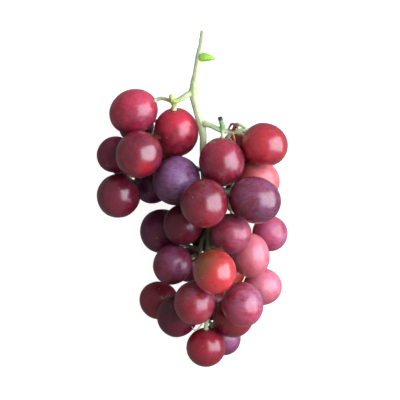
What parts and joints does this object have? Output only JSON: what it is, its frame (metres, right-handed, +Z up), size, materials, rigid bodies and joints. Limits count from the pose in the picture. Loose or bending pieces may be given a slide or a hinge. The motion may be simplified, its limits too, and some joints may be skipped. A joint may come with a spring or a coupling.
{
  "type": "bunch of grapes",
  "caption": "Bunch of large round red grapes on a green branched stem, lying on its back with the cut stem at one end.",
  "frame": {"origin": "on the table surface, under the middle of the whole bunch", "axes": "+Y along the bunch towards the cut stem, +Z up from the table"},
  "size_m": [0.1104, 0.1922, 0.0765],
  "materials": {
    "skin_crimson": "glossy under a thin waxy bloom",
    "skin_red": "glossy under a thin waxy bloom",
    "skin_orange": "glossy, with little bloom",
    "skin_pale": "glossy under a thin waxy bloom",
    "skin_plum": "satin under a heavy waxy bloom",
    "skin_dark": "glossy under a thin waxy bloom",
    "stem": "matt green stem, brown where it is dried"
  },
  "bodies": {
    "root": {"grape_01": "skin_crimson", "grape_02": "skin_crimson", "grape_03": "skin_dark", "grape_04": "skin_dark", "grape_05": "skin_dark", "grape_06": "skin_plum", "grape_07": "skin_plum", "grape_08": "skin_crimson", "grape_09": "skin_crimson", "grape_10": "skin_red", "grape_11": "skin_pale", "grape_12": "skin_plum", "grape_13": "skin_crimson", "grape_14": "skin_crimson", "grape_15": "skin_pale", "grape_16": "skin_orange", "grape_17": "skin_pale", "grape_18": "skin_crimson", "grape_19": "skin_red", "grape_20": "skin_dark", "grape_21": "skin_dark", "grape_22": "skin_crimson", "grape_23": "skin_plum", "grape_24": "skin_red", "grape_25": "skin_dark", "grape_26": "skin_dark", "grape_27": "skin_plum", "grape_28": "skin_crimson", "grape_29": "skin_dark", "grape_30": "skin_dark", "grape_31": "skin_crimson", "grape_32": "skin_dark", "grape_33": "skin_crimson", "grape_34": "skin_red", "grape_35": "skin_crimson", "grape_36": "skin_dark", "grape_37": "skin_crimson", "grape_38": "skin_orange", "grape_39": "skin_crimson", "grape_40": "skin_dark", "stem": "stem"}
  },
  "joints": []
}
